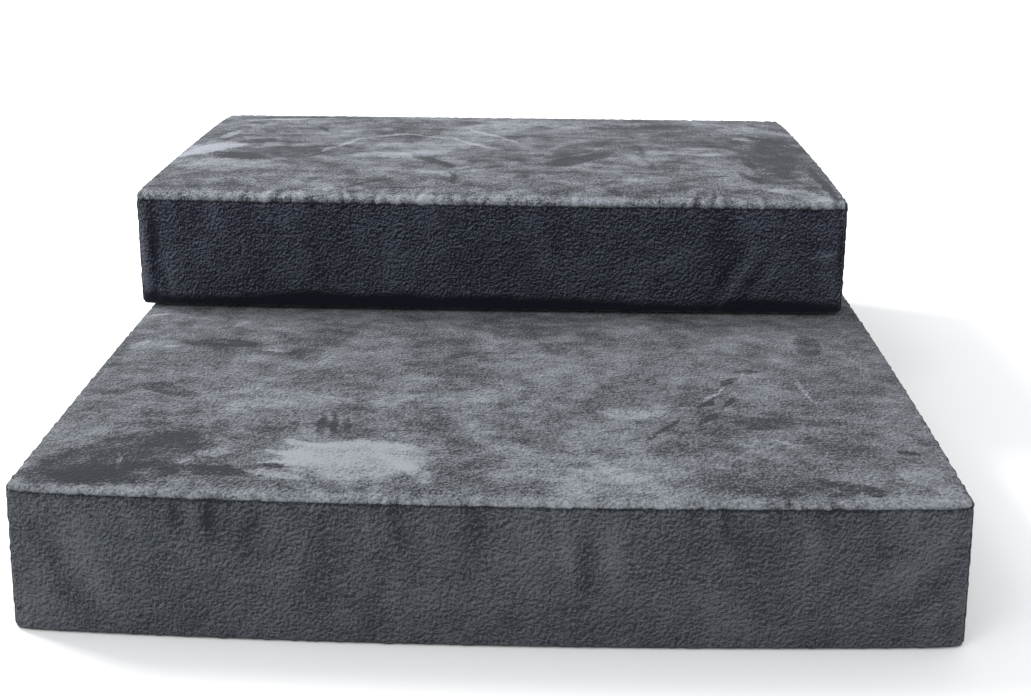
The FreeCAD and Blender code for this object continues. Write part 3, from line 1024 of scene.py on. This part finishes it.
tape_cloth = tape_finish("zip_tape_cloth", (0.02, 0.021, 0.024), (0.075, 0.078, 0.085), 500.0)
coil_nylon = nylon_finish()
black_enamel = metal_finish()

for side in ("lower", "upper"):
    block = f"{side}_block"
    zip_middle = (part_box(f"{side}_zip_slider")[0].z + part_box(f"{side}_zip_slider")[1].z) / 2
    for level in ("upper", "lower"):
        node = f"{side}_zip_tape_{level}"
        tape = woven_strip(f"{node}_cloth", node, zip_middle, 3 * millimetre)
        fit(tape, tape_cloth, block, "zip_tape", node)
        flat = np.ptp(positions(tape), axis=0)[[0, 2]]
        node = f"{side}_zip_coil_{level}"
        fit(coil(f"{node}_spiral", node), coil_nylon, block, "zip_coil", node)
    for part in ("end_stops", "slider", "pull"):
        node = f"{side}_zip_{part}"
        body = block if part == "end_stops" else node
        fit(eased_copy(f"{node}_metal", node), black_enamel, body, "zip_metal", node)

# ------------------------------------------------------------------ hook-and-loop strips
# Three strips of hook tape are sewn to the lower block's top and three of loop tape to the upper block's
# underside. They hold the blocks together, and peel apart when the upper one is lifted.
backing = 0.5 * millimetre
hook_pitch = 3.5 * millimetre
strip_margin = 3 * millimetre
strip_width = 50 * millimetre


def strip_boxes(node):
    """The box of each strip in a node of like strips that lie side by side."""
    low, high = (np.array(corner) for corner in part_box(node))
    gap = (high[0] - low[0] - strip_width) / 2
    for index in range(3):
        corner = low + [index * gap, 0, 0]
        yield corner, np.array([corner[0] + strip_width, high[1], high[2]])


def backing_strip(low, high, cell, pile=0.0, seed=0):
    """A flat tape, whose lower face may carry a pile of uneven loops."""
    middle, size = (low + high) / 2, high - low
    strip = primitive(bpy.ops.mesh.primitive_grid_add, "strip", (size[0], size[1], 1), size=1,
                      x_subdivisions=round(size[0] / cell), y_subdivisions=round(size[1] / cell),
                      location=middle)
    wall = strip.modifiers.new("Thickness", "SOLIDIFY")
    wall.thickness = size[2]
    wall.offset = 0
    apply_modifiers(strip)
    points = positions(strip)
    loops = np.random.default_rng(seed).random(len(points)) * pile
    edge = np.minimum(points[:, :2] - low[:2], high[:2] - points[:, :2]).min(axis=1)
    under = (points[:, 2] < middle[2]) & (edge > strip_margin)
    points[under, 2] -= loops[under]
    move_points(strip, points)
    return strip


def hooks(low, high):
    """A field of small hooks: posts whose tips bend over to one side."""
    height = high[2] - low[2] - backing
    start = (low[0] + strip_margin, low[1] + strip_margin, low[2] + backing + height * 0.35)
    hook = tapered_post("hooks", start, 0.45 * millimetre, height * 0.7, 4, 0.7)
    select_faces(hook, face_centres(hook)[:, 2] > start[2] + height * 0.3)
    lean = {"value": (0.5 * millimetre, 0, height * 0.3 - 0.02 * millimetre)}
    bpy.ops.mesh.extrude_region_move(TRANSFORM_OT_translate=lean)
    bpy.ops.object.mode_set(mode="OBJECT")
    counts = [int((high[axis] - low[axis] - 2 * strip_margin) / hook_pitch) + 1 for axis in (0, 1)]
    repeated(hook, counts, [hook_pitch] * 2)
    return hook


def strip_stitches(low, high, level):
    """Stitching all round one strip."""
    edge = 1.6 * millimetre
    width, length = (high - low)[:2] - 2 * edge
    for x in (low[0] + edge, high[0] - edge):
        yield stitch_row((x, low[1] + edge + stitch_length / 2, level), 1, length)
    for y in (low[1] + edge, high[1] - edge):
        yield stitch_row((low[0] + edge + stitch_length / 2, y, level), 0, width)


def fuzzy_finish():
    """A fuzzy pile of fine nylon loops."""
    material, place, shader = new_finish("loop_pile")
    fuzz = place.noise(700, 4, 0.8)
    dark, light = (0.012, 0.012, 0.014), (0.06, 0.061, 0.066)
    colour = fuzz.between(dark, light)
    bump = fuzz.bump(1.0, 0.0008)
    place.feed(shader, {"Base Color": colour, "Roughness": 0.95, "Normal": bump})
    return material


hook_nylon = tape_finish("hook_nylon", (0.012, 0.012, 0.014), (0.05, 0.051, 0.055), 420.0)
hook_parts, loop_parts, hook_rows, loop_rows = [], [], [], []
for low, high in strip_boxes("hook_tape_strips"):
    hook_parts.append(backing_strip(low, np.array([high[0], high[1], low[2] + backing]), 10 * millimetre))
    hook_parts.append(hooks(low, high))
    hook_rows.extend(strip_stitches(low, high, low[2] + backing + thread_radius / 2))
for seed, (low, high) in enumerate(strip_boxes("loop_tape_strips")):
    flat_low = np.array([low[0], low[1], high[2] - backing])
    loop_parts.append(backing_strip(flat_low, high, 2 * millimetre, high[2] - low[2] - backing, seed))
    loop_rows.extend(strip_stitches(low, high, high[2] - backing - thread_radius / 2))
hook_strips = joined(hook_parts, "hook_strips")
fit(hook_strips, hook_nylon, "lower_block", "hook_tape", "hook_tape_strips")
loop_strips = joined(loop_parts, "loop_strips")
loop_strips.data.shade_smooth()
fit(loop_strips, fuzzy_finish(), "upper_block", "loop_tape", "loop_tape_strips")
for name, rows, body, slot in (
    ("hook_strip_stitching", hook_rows, "lower_block", "hook_tape"),
    ("loop_strip_stitching", loop_rows, "upper_block", "loop_tape"),
):
    stitching = joined(rows, name)
    stitching.data.shade_smooth()
    fit(stitching, thread, body, slot)

# ------------------------------------------------------------------ studio
# A pale floor under an even sky, with a soft key light behind and to the left and a weak fill in front. The
# camera stands in front, a little above, and looks down at the treads.
ground = primitive(bpy.ops.mesh.primitive_plane_add, "ground", size=30)
ground_finish, _, shader = new_finish("pale_floor")
shader.inputs["Base Color"].default_value = (0.9, 0.9, 0.9, 1)
shader.inputs["Roughness"].default_value = 0.9
ground.data.materials.append(ground_finish)

world = bpy.data.worlds.new("studio")
bpy.context.scene.world = world
world.use_nodes = True
sky = world.node_tree.nodes["Background"]
sky.inputs["Color"].default_value = (0.97, 0.98, 1, 1)
sky.inputs["Strength"].default_value = 1.1


def lamp(name, place, aim, size, power):
    """A square soft light."""
    data = bpy.data.lights.new(name, "AREA")
    data.size = size
    data.energy = power
    light = bpy.data.objects.new(name, data)
    bpy.context.scene.collection.objects.link(light)
    way = Vector(aim) - Vector(place)
    light.matrix_world = Matrix.Translation(place) @ way.to_track_quat("-Z", "Y").to_matrix().to_4x4()


lamp("key", (-2.5, 0.9, 2.6), (0, 0, 0.1), 1.0, 120)
lamp("fill", (-1.2, -1.6, 2.6), (0, -0.3, 0.1), 0.8, 14)

camera_data = bpy.data.cameras.new("camera")
camera_data.sensor_width = 36
camera_data.lens = 42.77
camera_data.shift_y = -0.0999
camera = bpy.data.objects.new("camera", camera_data)
bpy.context.scene.collection.objects.link(camera)
camera.matrix_world = (
    Matrix.Translation((0.0466, -1.4831, 0.7177))
    @ Matrix.Rotation(math.radians(1.2), 4, "Z")
    @ Matrix.Rotation(math.radians(90 - 17.84), 4, "X")
    @ Matrix.Rotation(math.radians(0.42), 4, "Z")
)
bpy.context.scene.camera = camera
bpy.context.scene.view_settings.view_transform = "Standard"
